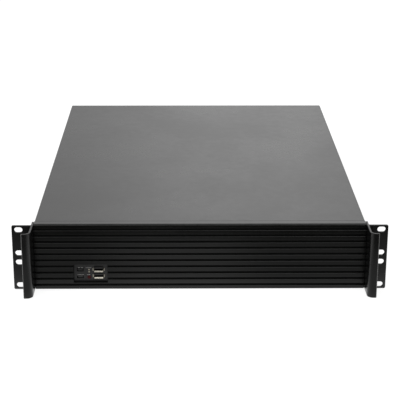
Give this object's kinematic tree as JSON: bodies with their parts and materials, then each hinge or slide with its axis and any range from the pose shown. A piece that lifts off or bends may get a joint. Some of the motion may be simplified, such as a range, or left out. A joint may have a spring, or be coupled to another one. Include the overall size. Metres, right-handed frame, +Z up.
{
  "type": "rackmount server case",
  "caption": "Empty two-unit rackmount server case: ribbed front panel with handles and ears, small control recess, lift-off cover, fan wall and drive cages inside.",
  "frame": {"origin": "middle of the case's footprint, on the surface that it stands on", "axes": "+X to the right seen from the front, +Y to the rear, +Z up; the front panel faces -Y"},
  "size_m": [0.4826, 0.6234, 0.088],
  "materials": {
    "black_steel": "satin black powder coat",
    "bare_steel": "zinc-coated steel sheet",
    "black_aluminium": "black anodised",
    "plated_steel": "nickel plated",
    "brass": "turned",
    "black_plastic": "moulded",
    "circuit_board": "solder mask",
    "amber_lens": "moulded lens",
    "red_lens": "moulded lens"
  },
  "bodies": {
    "case": {"alarm_lamp": "red_lens", "base_tray": "black_steel", "cage_screws": "plated_steel", "cover_screws": "plated_steel", "drive_cage_1": "bare_steel", "drive_cage_2": "bare_steel", "drive_lamp": "amber_lens", "fan_frame_1": "black_plastic", "fan_frame_2": "black_plastic", "fan_frame_3": "black_plastic", "fan_screws": "plated_steel", "fan_wall": "bare_steel", "front_frame": "black_steel", "front_panel": "black_aluminium", "io_board": "circuit_board", "io_plate": "black_plastic", "left_handle": "black_aluminium", "left_handle_screws": "plated_steel", "panel_screws": "plated_steel", "power_lamp": "amber_lens", "power_switch": "black_plastic", "psu_cradle": "bare_steel", "rear_panel": "black_steel", "reset_switch": "black_plastic", "right_handle": "black_aluminium", "right_handle_screws": "plated_steel", "slot_cover_1": "bare_steel", "slot_cover_2": "bare_steel", "slot_cover_3": "bare_steel", "slot_cover_4": "bare_steel", "slot_cover_5": "bare_steel", "slot_cover_6": "bare_steel", "slot_cover_7": "bare_steel", "slot_rail": "bare_steel", "slot_screws": "plated_steel", "standoffs": "brass", "usb_shell_lower": "plated_steel", "usb_shell_upper": "plated_steel", "usb_tongue_lower": "black_plastic", "usb_tongue_upper": "black_plastic"},
    "cover": {"top_cover": "black_steel"},
    "power_key": {"power_button": "black_plastic"},
    "reset_key": {"reset_button": "black_plastic"},
    "rotor_1": {"fan_rotor_1": "black_plastic"},
    "rotor_2": {"fan_rotor_2": "black_plastic"},
    "rotor_3": {"fan_rotor_3": "black_plastic"}
  },
  "joints": [
    {"name": "cover_lift", "type": "slide", "parent": "case", "child": "cover", "axis": [0, 0, 1], "range_m": [0, 0.12]},
    {"name": "power_push", "type": "slide", "parent": "case", "child": "power_key", "axis": [0, 1, 0], "range_m": [0, 0.001], "stiffness_N_per_m": 300, "springref_m": -0.001},
    {"name": "reset_push", "type": "slide", "parent": "case", "child": "reset_key", "axis": [0, 1, 0], "range_m": [0, 0.001], "stiffness_N_per_m": 300, "springref_m": -0.001},
    {"name": "fan_spin_1", "type": "hinge", "parent": "case", "child": "rotor_1", "pos_m": [-0.1, -0.03075, 0.0429], "axis": [0, 1, 0], "continuous": true},
    {"name": "fan_spin_2", "type": "hinge", "parent": "case", "child": "rotor_2", "pos_m": [0, -0.03075, 0.0429], "axis": [0, 1, 0], "continuous": true},
    {"name": "fan_spin_3", "type": "hinge", "parent": "case", "child": "rotor_3", "pos_m": [0.1, -0.03075, 0.0429], "axis": [0, 1, 0], "continuous": true}
  ]
}
